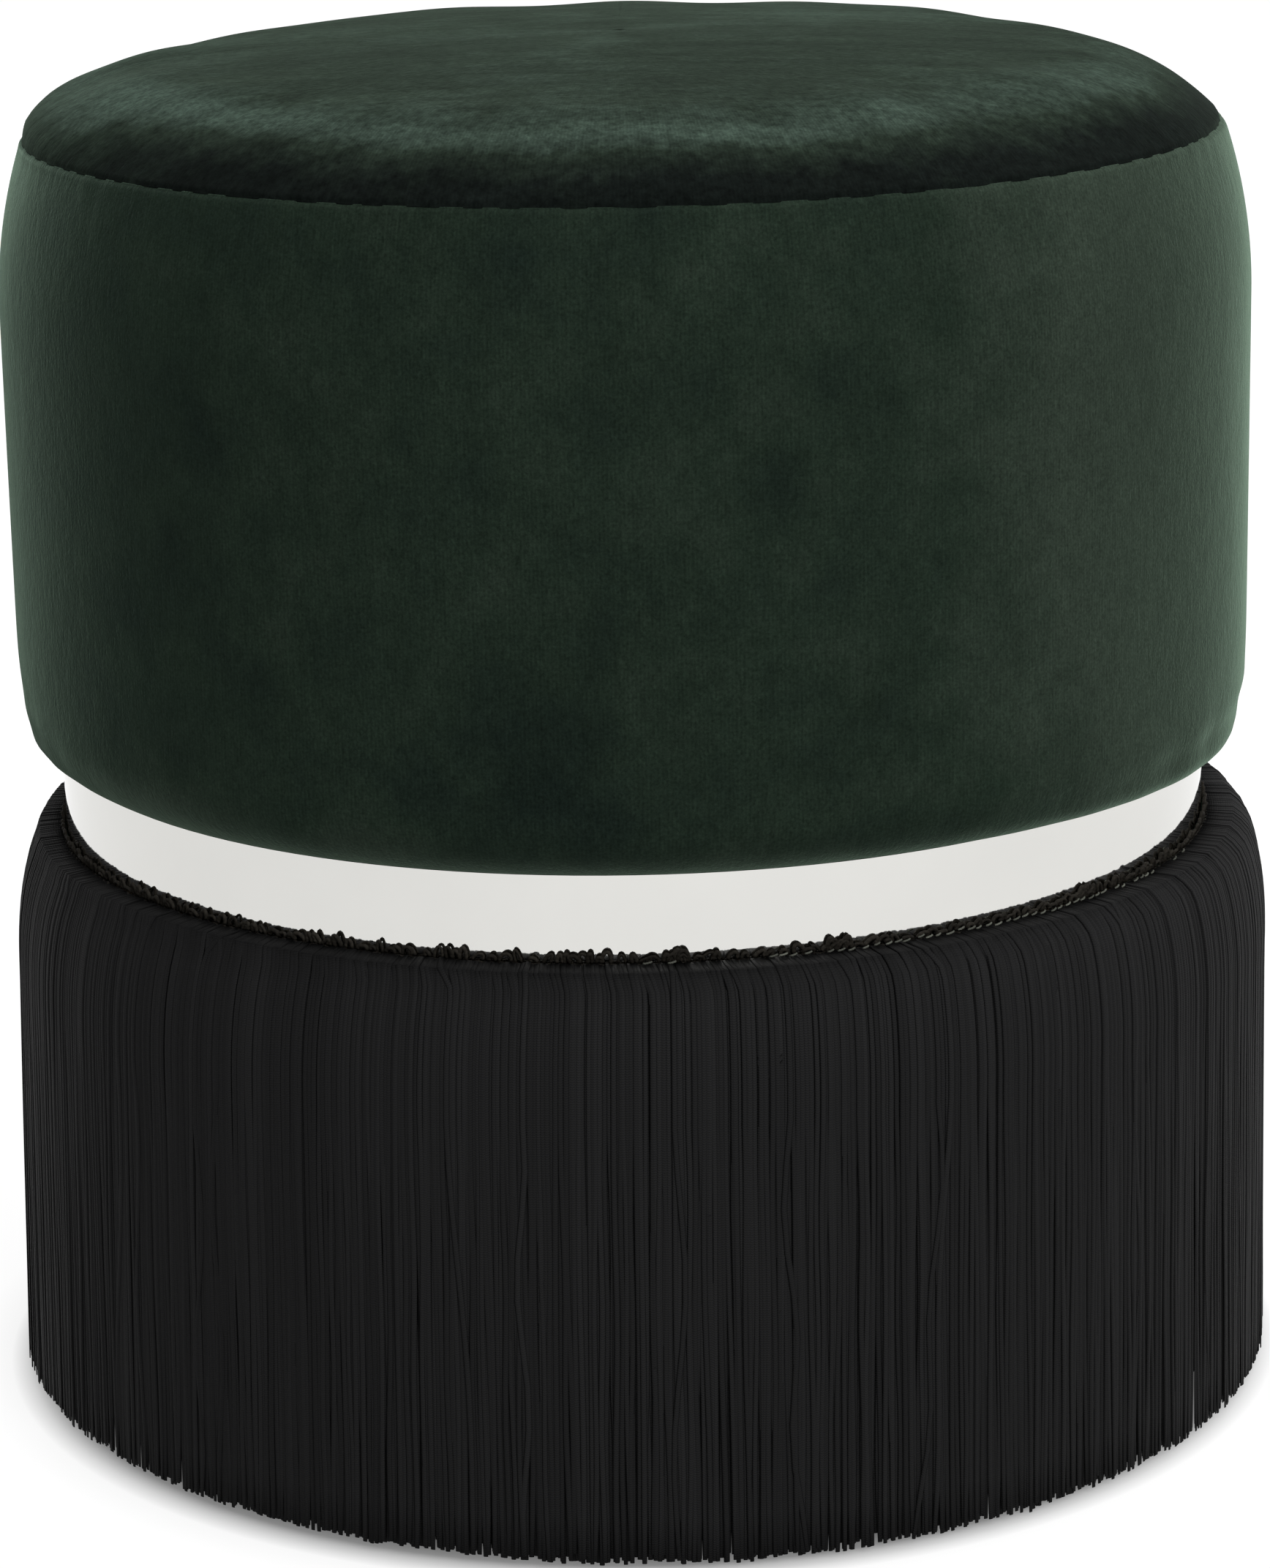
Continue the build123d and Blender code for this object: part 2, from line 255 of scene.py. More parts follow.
def clouds(angle, run, radius, shortest, longest, generator):
    """Soft blotches over a turned surface, of about unit size, with wavelengths between two lengths."""
    total = np.zeros(np.broadcast(angle, run).shape)
    count = 36
    for _ in range(count):
        wave = TAU / generator.uniform(shortest, longest)
        heading = generator.uniform(0, TAU)
        turns = round(wave * math.cos(heading) * radius)
        phase = generator.uniform(0, TAU)
        total = total + np.cos(turns * angle + wave * math.sin(heading) * run + phase)
    return total * math.sqrt(2 / count)


def step(value, start, end):
    """A smooth step from 0 at start to 1 at end."""
    share = np.clip((value - start) / (end - start), 0, 1)
    return share * share * (3 - 2 * share)


def bell(value, middle, reach):
    """1 at the middle, falling softly to 0 on both sides of it."""
    return np.exp(-(((value - middle) / reach) ** 2))


def from_front(angle):
    """Degrees round from the front, to the right as the camera sees it."""
    return np.degrees(angle % TAU) - 180


def patched(angle, height, patches):
    """The sum of soft patches, each with its place in degrees and height, its half sizes and its change."""
    total = np.zeros(np.broadcast(angle, height).shape)
    for place, level, half_angle, half_height, change in patches:
        across = (from_front(angle) - place) / half_angle
        along = (height - level) / half_height
        total = total + change * np.exp(-(across**2) - along**2)
    return total


def patched_round(angle, patches):
    """The sum of soft patches round the pouf: their places and half widths in degrees, and their changes."""
    flat = [(place, 0, half_angle, 1, change) for place, half_angle, change in patches]
    return patched(angle, np.zeros_like(angle), flat)


def polar(angle, radius, height):
    """Points round the Z axis, by angles that start at the back."""
    return np.stack([-radius * np.sin(angle), radius * np.cos(angle), height], axis=-1)


def outward(angle):
    """Unit vectors that point away from the Z axis."""
    return polar(angle, np.ones_like(angle), np.zeros_like(angle))


def upward(angle):
    """Unit vectors along the Z axis."""
    return polar(angle, np.zeros_like(angle), np.ones_like(angle))


# Materials

def new_material(name):
    """A node material with a Principled shader. Returns the material, its node tree and the shader."""
    material = bpy.data.materials.new(name)
    material.use_nodes = True
    tree = material.node_tree
    return material, tree, tree.nodes["Principled BSDF"]


def noise(tree, vector, scale, detail, roughness):
    """A noise texture over a vector socket. Returns its factor socket."""
    texture = tree.nodes.new("ShaderNodeTexNoise")
    texture.inputs["Scale"].default_value = scale
    texture.inputs["Detail"].default_value = detail
    texture.inputs["Roughness"].default_value = roughness
    tree.links.new(vector, texture.inputs["Vector"])
    return texture.outputs["Fac"]


def stretched_noise(tree, vector, scale, detail, roughness):
    """A noise texture over a vector socket that is scaled along its axes. Returns its factor socket."""
    mapping = tree.nodes.new("ShaderNodeMapping")
    mapping.inputs["Scale"].default_value = scale
    tree.links.new(vector, mapping.inputs["Vector"])
    return noise(tree, mapping.outputs["Vector"], 1, detail, roughness)


def ramp(tree, factor, stops):
    """A colour ramp over a factor socket, from (place, colour) pairs. Returns its colour socket."""
    node = tree.nodes.new("ShaderNodeValToRGB")
    elements = node.color_ramp.elements
    while len(elements) < len(stops):
        elements.new(0.5)
    for element, (place, colour) in zip(elements, stops):
        element.position = place
        element.color = (*colour, 1)
    tree.links.new(factor, node.inputs["Fac"])
    return node.outputs["Color"]


def math_node(tree, operation, *values):
    """A math node over sockets or plain numbers. Returns its value socket."""
    node = tree.nodes.new("ShaderNodeMath")
    node.operation = operation
    for index, value in enumerate(values):
        if isinstance(value, (int, float)):
            node.inputs[index].default_value = value
        else:
            tree.links.new(value, node.inputs[index])
    return node.outputs["Value"]


def tinted(tree, colour, factor):
    """A colour socket multiplied by a grey or colour socket."""
    node = tree.nodes.new("ShaderNodeMix")
    node.data_type = "RGBA"
    node.blend_type = "MULTIPLY"
    node.inputs["Factor"].default_value = 1
    tree.links.new(colour, node.inputs["A"])
    tree.links.new(factor, node.inputs["B"])
    return node.outputs["Result"]


def bumped(tree, shader, height, strength, distance):
    """Feeds a height socket to the shader as bump."""
    bump = tree.nodes.new("ShaderNodeBump")
    bump.inputs["Strength"].default_value = strength
    bump.inputs["Distance"].default_value = distance
    tree.links.new(height, bump.inputs["Height"])
    tree.links.new(bump.outputs["Normal"], shader.inputs["Normal"])


def named_vector(tree, name):
    """A vector kept on the mesh's points."""
    node = tree.nodes.new("ShaderNodeAttribute")
    node.attribute_name = name
    return node.outputs["Vector"]


def object_vector(tree):
    """Object coordinates, in metres."""
    return tree.nodes.new("ShaderNodeTexCoord").outputs["Object"]


def shaded(tree, colour, factor, depth):
    """A colour socket made darker and lighter by a noise, as deep as said."""
    low, high = 1 - depth, 1 + depth
    return tinted(tree, colour, ramp(tree, factor, [(0.3, (low,) * 3), (0.7, (high,) * 3)]))


def velvet_material(name, lay_and_painted_light, sheen, sheen_roughness, streak_scale, streak, mottling, speck_scale, speck):
    """Cut-pile velvet: a colour by the pile's tone, with painted light and shade where the tone holds them,
    blotches, fine pile lines, specks and a soft sheen.
    """
    material, tree, shader = new_material(name)
    place = object_vector(tree)
    split = tree.nodes.new("ShaderNodeSeparateXYZ")
    pile = named_vector(tree, "pile")
    tree.links.new(pile, split.inputs["Vector"])
    mottle = noise(tree, place, scale=48, detail=6, roughness=0.74)
    lifted = math_node(tree, "MULTIPLY_ADD", mottle, mottling, -mottling / 2)
    nap_and_painted_light = math_node(tree, "ADD", split.outputs["Z"], lifted)
    # Where a panel's tone holds painted light and shade, this ramp turns it into lighter and darker colour
    colour = ramp(tree, nap_and_painted_light, lay_and_painted_light)
    streaks = stretched_noise(tree, place, streak_scale, detail=3, roughness=0.6)
    colour = shaded(tree, colour, streaks, streak)
    lines = stretched_noise(tree, pile, pile_line_scale, detail=2, roughness=0.6)
    colour = shaded(tree, colour, lines, pile_line_shade)
    blotches = noise(tree, place, scale=150, detail=4, roughness=0.8)
    colour = shaded(tree, colour, blotches, blotch_shade)
    specks = noise(tree, place, scale=speck_scale, detail=3, roughness=0.75)
    colour = shaded(tree, colour, specks, speck)
    turns = math_node(tree, "MULTIPLY", split.outputs["X"], TAU / pile_pitch)
    ribs = math_node(tree, "MULTIPLY_ADD", math_node(tree, "SINE", turns), rib_shade, 1.0)
    colour = tinted(tree, colour, ribs)
    tree.links.new(colour, shader.inputs["Base Color"])
    shader.inputs["Roughness"].default_value = 0.9
    shader.inputs["Specular IOR Level"].default_value = 0.02
    shader.inputs["Sheen Weight"].default_value = sheen
    shader.inputs["Sheen Roughness"].default_value = sheen_roughness
    shader.inputs["Sheen Tint"].default_value = (0.70, 1.0, 0.76, 1)
    raised = math_node(tree, "MULTIPLY", mottle, mottle_height)
    height = math_node(tree, "ADD", raised, lines)
    height = math_node(tree, "ADD", height, specks)
    bumped(tree, shader, height, strength=0.4, distance=0.3 * MM)
    return material


def yarn_material(name, tag, colour, spread, pitch, start_shade=1.0):
    """Knitted cord: chevron stitches, painted shade at its edges and its start, and a tone of its own for
    each cord.
    """
    material, tree, shader = new_material(name)
    split = tree.nodes.new("ShaderNodeSeparateXYZ")
    tree.links.new(named_vector(tree, tag), split.inputs["Vector"])
    across, along, tone = (split.outputs[axis] for axis in "XYZ")
    turns = math_node(tree, "MULTIPLY", along, 1 / pitch)
    aside = math_node(tree, "MULTIPLY", math_node(tree, "ABSOLUTE", across), stitch_slant)
    phase = math_node(tree, "MULTIPLY", math_node(tree, "ADD", turns, aside), TAU)
    stitch = math_node(tree, "SINE", phase)
    low = tuple(channel * (1 - spread) for channel in colour)
    high = tuple(channel * (1 + spread) for channel in colour)
    base = ramp(tree, tone, [(0.0, low), (1.0, high)])
    shade = math_node(tree, "MULTIPLY_ADD", stitch, stitch_shade, 1.0)
    # Painted shade: each cord darker towards its edges, as light falls on a round cord
    squared = math_node(tree, "POWER", aside, 2)
    edges = math_node(tree, "MULTIPLY_ADD", squared, edge_shade, middle_shade)
    base = tinted(tree, base, edges)
    # Painted shade: darker near the cord's start, where the seat and heading shade it
    started = math_node(tree, "MULTIPLY", along, 1 / shaded_start)
    start = ramp(tree, started, [(0.0, (start_shade,) * 3), (1.0, (1.0,) * 3)])
    base = tinted(tree, base, start)
    tree.links.new(tinted(tree, base, shade), shader.inputs["Base Color"])
    shader.inputs["Roughness"].default_value = 0.6
    shader.inputs["Specular IOR Level"].default_value = 0.03
    bumped(tree, shader, stitch, strength=0.3, distance=0.12 * MM)
    return material


def steel_material(name, colour, roughness, streak_scale, variation):
    """Metal with fine drawn streaks and faint cloudy wear."""
    material, tree, shader = new_material(name)
    place = object_vector(tree)
    wear = noise(tree, place, scale=30, detail=3, roughness=0.55)
    dark = tuple(channel * (1 - variation) for channel in colour)
    tree.links.new(ramp(tree, wear, [(0.35, dark), (0.65, colour)]), shader.inputs["Base Color"])
    streaks = stretched_noise(tree, place, streak_scale, detail=2, roughness=0.5)
    grey = [(0.3, (roughness * 0.7,) * 3), (0.7, (roughness * 1.3,) * 3)]
    tree.links.new(ramp(tree, streaks, grey), shader.inputs["Roughness"])
    shader.inputs["Metallic"].default_value = 1.0
    bumped(tree, shader, streaks, strength=0.02, distance=0.02 * MM)
    return material


def wood_material(name, light, dark, grain_scale, layer_scale):
    """Wood with grain on its faces, and layers through its thickness where it is plywood."""
    material, tree, shader = new_material(name)
    place = object_vector(tree)
    grain = stretched_noise(tree, place, grain_scale, detail=4, roughness=0.6)
    colour = ramp(tree, grain, [(0.3, dark), (0.7, light)])
    layers = stretched_noise(tree, place, layer_scale, detail=1, roughness=0.4)
    shade = ramp(tree, layers, [(0.42, (0.78,) * 3), (0.58, (1.0,) * 3)])
    tree.links.new(tinted(tree, colour, shade), shader.inputs["Base Color"])
    shader.inputs["Roughness"].default_value = 0.7
    bumped(tree, shader, grain, strength=0.2, distance=0.2 * MM)
    return material


def porous_material(name, light, dark, scale, roughness, depth):
    """A matt material with pores or fibres: foam, non-woven cloth or moulded plastic."""
    material, tree, shader = new_material(name)
    place = object_vector(tree)
    pores = noise(tree, place, scale=scale, detail=3, roughness=0.65)
    tree.links.new(ramp(tree, pores, [(0.3, dark), (0.7, light)]), shader.inputs["Base Color"])
    shader.inputs["Roughness"].default_value = roughness
    bumped(tree, shader, pores, strength=0.4, distance=depth)
    return material


# Velvet: the pitch and shade of its upright ribs, its fine lines and blotches, and how mottling raises it
pile_pitch = 1.05 * MM
rib_shade = 0.07
pile_line_scale = (900, 200, 1)
pile_line_shade = 0.11
blotch_shade = 0.13
mottle_height = 4.0
# Knitted cord: how far the painted shade at its start reaches, the shades across it, with painted shade at
# its edges, and the slant of its stitches
shaded_start = 16 * MM
edge_shade = -0.7
middle_shade = 1.12
stitch_shade = 0.16
stitch_slant = 0.6
# Velvet colours by the pile's tone: the darkest stands for painted shade, the lightest for painted light,
# the middle is the velvet's own colour
top_tone_and_painted_light_colours = [
    (0.05, (0.0034, 0.0048, 0.0042)),
    (0.5, (0.0120, 0.0184, 0.0130)),
    (0.95, (0.0380, 0.0570, 0.0450)),
]
side_tone_and_painted_light_colours = [
    (0.1, (0.0036, 0.0064, 0.0060)),
    (0.5, (0.0108, 0.0180, 0.0122)),
    (0.9, (0.0215, 0.0310, 0.0225)),
]
top_velvet = velvet_material(
    "velvet_top",
    top_tone_and_painted_light_colours,
    sheen=0.055,
    sheen_roughness=0.28,
    streak_scale=(7, 130, 7),
    streak=0.24,
    mottling=0.66,
    speck_scale=460,
    speck=0.46,
)
side_velvet = velvet_material(
    "velvet_side",
    side_tone_and_painted_light_colours,
    sheen=0.29,
    sheen_roughness=0.335,
    streak_scale=(25, 25, 12),
    streak=0.08,
    mottling=0.55,
    speck_scale=1200,
    speck=0.32,
)
lining_velvet = velvet_material(
    "velvet_lining",
    side_tone_and_painted_light_colours,
    sheen=0.10,
    sheen_roughness=0.29,
    streak_scale=(25, 25, 12),
    streak=0.10,
    mottling=0.60,
    speck_scale=1200,
    speck=0.30,
)
cord_yarn = yarn_material(
    "chainette", "cord", colour=(0.0097, 0.0097, 0.0099), spread=0.17, pitch=0.65 * MM, start_shade=0.55
)
heading_yarn = yarn_material(
    "heading_yarn", "cord", colour=(0.0140, 0.0125, 0.0102), spread=0.30, pitch=1.1 * MM
)
stitch_thread = yarn_material(
    "stitch_thread", "cord", colour=(0.075, 0.078, 0.066), spread=0.4, pitch=0.6 * MM
)
polished_steel = steel_material(
    "polished_steel",
    colour=(0.66, 0.655, 0.63),
    roughness=0.05,
    streak_scale=(40, 40, 900),
    variation=0.02,
)
zinc_steel = steel_material(
    "zinc_steel", colour=(0.62, 0.62, 0.60), roughness=0.35, streak_scale=(300, 300, 300), variation=0.15
)
plywood = wood_material(
    "plywood",
    light=(0.62, 0.45, 0.28),
    dark=(0.42, 0.28, 0.16),
    grain_scale=(14, 120, 14),
    layer_scale=(3, 3, 700),
)
pine = wood_material(
    "pine",
    light=(0.70, 0.52, 0.32),
    dark=(0.52, 0.35, 0.19),
    grain_scale=(120, 120, 9),
    layer_scale=(40, 40, 2),
)
hardboard = wood_material(
    "hardboard",
    light=(0.30, 0.19, 0.11),
    dark=(0.22, 0.13, 0.07),
    grain_scale=(300, 300, 300),
    layer_scale=(20, 20, 20),
)
foam = porous_material(
    "foam", light=(0.75, 0.68, 0.45), dark=(0.55, 0.48, 0.28), scale=900, roughness=0.95, depth=0.4 * MM
)
lining_cloth = porous_material(
    "lining_cloth",
    light=(0.030, 0.030, 0.031),
    dark=(0.012, 0.012, 0.013),
    scale=1500,
    roughness=0.85,
    depth=0.1 * MM,
)
glide_plastic = porous_material(
    "glide_plastic",
    light=(0.028, 0.028, 0.028),
    dark=(0.020, 0.020, 0.020),
    scale=2500,
    roughness=0.5,
    depth=0.03 * MM,
)

node_materials = {
    "polished_steel": polished_steel,
    "zinc_steel": zinc_steel,
    "plywood": plywood,
    "pine": pine,
    "hardboard": hardboard,
    "glide_plastic": glide_plastic,
}
for subpart in frame["record"]["subparts"]:
    finish = node_materials.get(subpart["material_slot"])
    if finish:
        node_mesh = frame["nodes"][subpart["node"]].data
        node_mesh.materials.clear()
        node_mesh.materials.append(finish)


# Seat: a crowned top panel sewn to a side panel, over foam

seat_columns = 540
flange_steps = 8
held_by_seam = 4 * MM
roll_centre = (
    seam_radius - edge_roll_radius * math.sin(math.radians(seam_slope)),
    seam_level - edge_roll_radius * math.cos(math.radians(seam_slope)),
)
crown_edge = (
    roll_centre[0] + edge_roll_radius * math.sin(math.radians(crown_slope)),
    roll_centre[1] + edge_roll_radius * math.cos(math.radians(crown_slope)),
)
dome_radius = crown_edge[0] / math.sin(math.radians(crown_slope))
dome_centre = (0.0, crown_edge[1] - dome_radius * math.cos(math.radians(crown_slope)))
seam_inset = seat_radius - seam_radius
side_shoulder_radius = (seam_inset**2 + shoulder_drop**2) / (2 * seam_inset)
side_shoulder_centre = (seat_radius - side_shoulder_radius, seam_level - shoulder_drop)
side_shoulder_end = math.degrees(math.asin(shoulder_drop / side_shoulder_radius))


def seat_top_outline():
    """From the seam, over the edge roll, to the middle of the crown."""
    near_seam = 90 - seam_slope
    return joined(
        arc(roll_centre, edge_roll_radius, near_seam, near_seam + 3, 10),
        arc(roll_centre, edge_roll_radius, near_seam + 3, 90 - crown_slope, 34),
        arc(dome_centre, dome_radius, 90 - crown_slope, 89.99, 40),
    )


def seat_side_outline():
    """From the tucked edge under the seat, round the bottom and up the side to the seam."""
    tuck = seat_foam_radius - flange_width
    corner = (seat_foam_radius, seat_bottom + seat_edge_radius)
    near_seam = side_shoulder_end - 1.4
    return joined(
        line((tuck, seat_bottom), (corner[0], seat_bottom), flange_steps),
        arc(corner, seat_edge_radius, -90, 0, 22),
        line((seat_radius, corner[1]), (seat_radius, side_shoulder_centre[1]), 44),
        arc(side_shoulder_centre, side_shoulder_radius, 0, near_seam, 26),
        arc(side_shoulder_centre, side_shoulder_radius, near_seam, side_shoulder_end, 10),
    )


# The seam: how far it draws the panels in, and how near to it they do
groove_depth = 0.7 * MM
groove_reach = 1.0 * MM
# How far the covers stand out unevenly, and over what distance
lump_height = 0.55 * MM
lean_height = 0.3 * MM
crown_height = 0.35 * MM
pucker_height = 0.07 * MM
top_pucker_reach = 7 * MM
side_pucker_reach = 8 * MM
uneven_height = 0.4 * MM
drift_height = 0.35 * MM
pull_height = 0.45 * MM
pull_level = 7 * MM
pull_reach = 9 * MM
# How far the cover settles on the band, how near to it, and how far up the edge
settled_height = 0.3 * MM
settled_reach = 3.2 * MM
settled_below = 6 * MM
# Where a sag begins outside the band, and where it has its full size
sag_start = 0.3 * MM
sag_full = 3 * MM


def seam_groove(distance):
    """How far the panels are drawn in where they are sewn together."""
    return -groove_depth * bell(distance, 0, groove_reach)


def sewn(distance):
    """From 0 at the seam, where the panels hold each other, to 1 a little way from it."""
    return step(distance, 0, held_by_seam)


# Places where the upholstery bulges or is drawn in: degrees from the front, distance from the seam on the
# top or height on the side, half sizes and how far
top_bulges = (
    (-95, 9 * MM, 24, 11 * MM, 2.4 * MM),
    (-125, 34 * MM, 26, 20 * MM, -1.0 * MM),
)
side_bulges = (
    (-90, 196 * MM, 26, 12 * MM, -1.4 * MM),
    (90, 199 * MM, 26, 10 * MM, -0.4 * MM),
)
# Where the cover sags over the band: degrees from the front, height, half sizes and how far
sags = (
    (74, 189.0 * MM, 30, 4.0 * MM, 4.0 * MM),
    (-84, 189.5 * MM, 18, 4.0 * MM, 2.2 * MM),
)


def top_swell(angle, run, outline):
    """Soft lumps along the edge roll, small puckers at the seam and a faintly uneven crown."""
    generator = np.random.default_rng(11)
    roll_length = edge_roll_radius * math.radians(seam_slope - crown_slope)
    on_roll = bell(run, 0.75 * roll_length, 0.45 * roll_length)
    lumps = lump_height * waves(angle, (3, 5, 7, 9, 12, 14, 17), generator) * on_roll
    lean = waves(angle, (4, 6, 11), generator)
    lumps = lumps + lean_height * lean * bell(run, 0.35 * roll_length, 0.3 * roll_length)
    puckers = waves(angle, (61, 74, 83, 97, 118), generator) * np.exp(-run / top_pucker_reach)
    radius = outline[None, :, 0]
    crown = crown_height * waves(angle, (1, 2, 3), generator) * (radius / seam_radius) ** 2
    loose = lumps + crown + patched(angle, run, top_bulges)
    return loose * sewn(run) + pucker_height * puckers + seam_groove(run)


def side_swell(angle, run, outline):
    """A slightly uneven side, puckers at the seam and pulls where the cover turns under the seat."""
    generator = np.random.default_rng(23)
    length = outline_run(outline)[-1]
    to_seam = length - run
    level = outline[None, :, 1]
    above = np.maximum(level - seat_bottom, 0)
    on_side = np.clip(above / seat_edge_radius, 0, 1)
    uneven = uneven_height * waves(angle, (2, 3, 5, 8), generator) * on_side * sewn(to_seam)
    drift = waves(angle, (3, 4, 7), generator) * np.sin(math.pi * above / (seam_level - seat_bottom))
    puckers = waves(angle, (58, 71, 86, 95, 121), generator) * np.exp(-to_seam / side_pucker_reach)
    pulls = waves(angle, (17, 23, 31, 38, 47), generator) * bell(above, pull_level, pull_reach) * on_side
    radius = outline[None, :, 0]
    settled = settled_height * bell(radius, band_radius, settled_reach) * (above < settled_below)
    swell = uneven + drift_height * drift + pucker_height * puckers + pull_height * pulls
    swell = swell + settled + seam_groove(to_seam)
    beyond_band = step(radius, band_radius + sag_start, band_radius + sag_full)
    return swell + patched(angle, level, side_bulges) + patched(angle, level, sags) * beyond_band


# Patches of painted light and shade on the velvet's colour, such as the side's lighter right and darker
# left:
# degrees from the front, distance from the seam on the top or height on the side, half sizes and change
top_painted_light_patches = (
    (-88, 8 * MM, 30, 16 * MM, 0.50),
    (75, 95 * MM, 32, 50 * MM, -0.05),
    (-56, 30 * MM, 17, 7 * MM, 0.40),
    (-30, 28 * MM, 11, 5 * MM, 0.10),
    (-6, 24 * MM, 20, 5 * MM, 0.08),
    (16, 25 * MM, 10, 6 * MM, 0.13),
    (46, 36 * MM, 18, 22 * MM, 0.10),
    (106, 44 * MM, 4, 17 * MM, -0.24),
    (96, 26 * MM, 8, 12 * MM, -0.14),
    (-75, 14 * MM, 9, 8 * MM, 0.12),
)
side_painted_light_patches = (
    (-46, 270 * MM, 17, 130 * MM, -0.12),
    (-66, 290 * MM, 8, 90 * MM, -0.10),
    (-78, 300 * MM, 14, 120 * MM, -0.50),
    (-50, 193 * MM, 11, 9 * MM, 0.50),
    (-24, 192 * MM, 6, 7 * MM, 0.24),
    (-10, 215 * MM, 16, 16 * MM, -0.14),
    (6, 290 * MM, 9, 60 * MM, -0.06),
    (60, 310 * MM, 22, 80 * MM, 0.90),
    (62, 215 * MM, 19, 50 * MM, 0.60),
    (78, 280 * MM, 15, 130 * MM, 0.95),
    (42, 196 * MM, 22, 10 * MM, -0.10),
)


# Painted shade and highlight on the top: its colour rises from a painted shade at the seam to a painted
# highlight along the crest and falls to the crown's even tone
crest_rise = (4 * MM, 27 * MM)
crest_fall = (29 * MM, 54 * MM)
crest_painted_highlight = 0.65
crown_lay = 0.52
lay_spread = 0.05
crest_wobble = 1.5 * MM
crest_blotches = 1.1 * MM
# The nap's lay on the side: strokes and clouds, and the height over which the strokes turn
even_lay = 0.5
stroke_lay = 0.05
stroke_height = 45 * MM
cloud_lay = 0.03


def top_nap_and_painted_light(angle, run, outline):
    """Painted shade where the top panel turns down to the seam, a painted highlight along the crest, the
    crown's own even tone, and patches of painted light and shade.
    """
    generator = np.random.default_rng(41)
    wobble = crest_wobble * waves(angle, (4, 7, 9, 13, 19), generator)
    wobble = wobble + crest_blotches * clouds(angle, run, seam_radius, 4 * MM, 16 * MM, generator)
    crest = crest_painted_highlight + lay_spread * waves(angle, (5, 8, 11), generator)
    crown = crown_lay + lay_spread * waves(angle, (2, 3, 5), generator)
    rise = step(run + wobble, *crest_rise)
    fall = step(run + wobble, *crest_fall)
    return rise * (crest + (crown - crest) * fall) + patched(angle, run, top_painted_light_patches)


def side_nap_and_painted_light(angle, run, outline):
    """Even, with cloudy patches where the pile was stroked, and patches of painted light and shade."""
    generator = np.random.default_rng(43)
    level = outline[None, :, 1]
    stroked = stroke_lay * waves(angle, (3, 6, 10, 15), generator) * np.cos(level / stroke_height)
    stroked = stroked + stroke_lay * waves(angle, (4, 9, 14), generator)
    stroked = stroked + cloud_lay * clouds(angle, run, seat_radius, 9 * MM, 60 * MM, generator)
    return even_lay + stroked + patched(angle, level, side_painted_light_patches)


def even_nap(angle, run, outline):
    """Even all over."""
    return even_lay * np.ones_like(run)


foam_columns = 180
under_cover_gap = 0.1 * MM
pad_clearance = 2.5 * MM
wrap_clearance = 1.8 * MM


def padding(name, node, outline, thickness, swell):
    """Foam that lies close under a cover and takes its shape."""
    sunk = cover_thickness + under_cover_gap

    def under_cover(angle, run, outline):
        return swell(angle, run, outline) - sunk

    piece = turned_shell(name, outline, thickness, foam_columns, foam, under_cover, even_nap)
    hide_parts(node)


top_outline = seat_top_outline()
side_outline = seat_side_outline()
seat_top = turned_shell(
    "seat_top_panel", top_outline, cover_thickness, seat_columns,
    top_velvet, top_swell, top_nap_and_painted_light,
)
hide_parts("seat_top_cover")

seat_side = turned_shell(
    "seat_side_panel", side_outline, cover_thickness, seat_columns,
    side_velvet, side_swell, side_nap_and_painted_light,
)
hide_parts("seat_side_cover")

board_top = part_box("seat_top_board")[1][2]
pad_depth = (top_outline[:, 1] - board_top) / outline_normals(top_outline)[:, 1]
pad_thickness = pad_depth - pad_clearance
padding("seat_top_foam", "seat_foam_pad", top_outline, pad_thickness, top_swell)
side_foam_thickness = seat_edge_radius - wrap_clearance
foam_side_outline = side_outline[flange_steps:]
padding("seat_side_foam", "seat_foam_wrap", foam_side_outline, side_foam_thickness, side_swell)


# Base: a velvet lining with a rounded shoulder

base_columns = 360
pressed_in = 1.4 * MM
base_under_steps = 14
base_edge_steps = 10
base_side_steps = 24
base_shoulder_steps = 20
base_tuck_steps = 6
base_foam_gap = 0.4 * MM
lining_uneven = 0.2 * MM
pleat_depth = 1.0 * MM
pleat_reach = 20 * MM
pleat_level = 3 * MM


def base_outline():
    """From the tucked edge under the base, up the side and over the shoulder to the tuck on top."""
    edge = (base_radius - base_edge_radius, base_bottom + base_edge_radius)
    shoulder = (base_foam_radius, base_top - base_shoulder_radius)
    under = base_foam_radius - flange_width
    return joined(
        line((under, base_bottom), (edge[0], base_bottom), base_under_steps),
        arc(edge, base_edge_radius, -90, 0, base_edge_steps),
        line((base_radius, edge[1]), (base_radius, shoulder[1]), base_side_steps),
        arc(shoulder, base_shoulder_radius, 0, 90, base_shoulder_steps),
        line((shoulder[0], base_top), (under, base_top), base_tuck_steps),
    )


def base_swell(angle, run, outline):
    """Pleats where the lining is gathered under the base, and a slightly uneven side."""
    generator = np.random.default_rng(31)
    radius = outline[None, :, 0]
    level = outline[None, :, 1]
    under = bell(level, base_bottom, pleat_level)
    gathered = np.clip((base_radius - radius) / pleat_reach, 0, 1)
    pleats = np.abs(waves(angle, (34, 41, 49, 57), generator))
    uneven = (lining_uneven * waves(angle, (2, 5, 9), generator) - pressed_in) * (1 - under)
    return uneven - pleat_depth * pleats * under * gathered * (1 - gathered)


lining_outline = base_outline()
base_lining = turned_shell(
    "base_lining", lining_outline, cover_thickness, base_columns,
    lining_velvet, base_swell, even_nap,
)
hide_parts("base_cover")

foam_start = base_under_steps + base_edge_steps - 2
foam_end = foam_start + base_side_steps + base_shoulder_steps - 2
base_foam_thickness = base_shoulder_radius - cover_thickness - pressed_in - base_foam_gap
foam_outline = lining_outline[foam_start:foam_end]
padding("base_side_foam", "base_foam_wrap", foam_outline, base_foam_thickness, base_swell)


